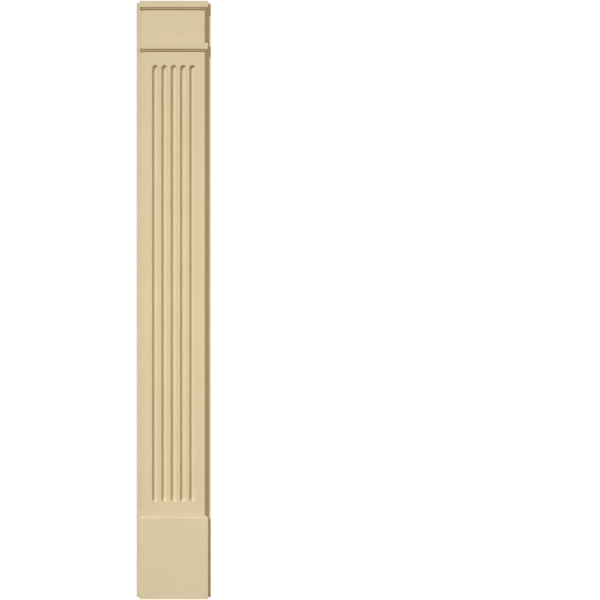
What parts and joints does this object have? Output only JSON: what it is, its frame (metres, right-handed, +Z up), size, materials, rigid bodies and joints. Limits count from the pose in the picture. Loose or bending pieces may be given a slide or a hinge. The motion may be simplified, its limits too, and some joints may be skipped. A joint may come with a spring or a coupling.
{
  "type": "fluted pilaster",
  "caption": "Flat fluted pilaster with a back board, a plain plinth block, a round-bottomed fluted shaft and a stepped, moulded capital; fixes flat to a wall.",
  "frame": {"origin": "centre of the back board's flat rear face, halfway up", "axes": "+Z up along the shaft, +Y into the wall behind, -Y out of the front, +X to the right seen from the front"},
  "size_m": [0.3048, 0.0508, 2.4384],
  "materials": {
    "primed_tan": "smooth factory primer, matt, tan"
  },
  "bodies": {
    "root": {"back_board": "primed_tan", "plinth_block": "primed_tan", "fluted_shaft": "primed_tan", "capital": "primed_tan"}
  },
  "joints": []
}
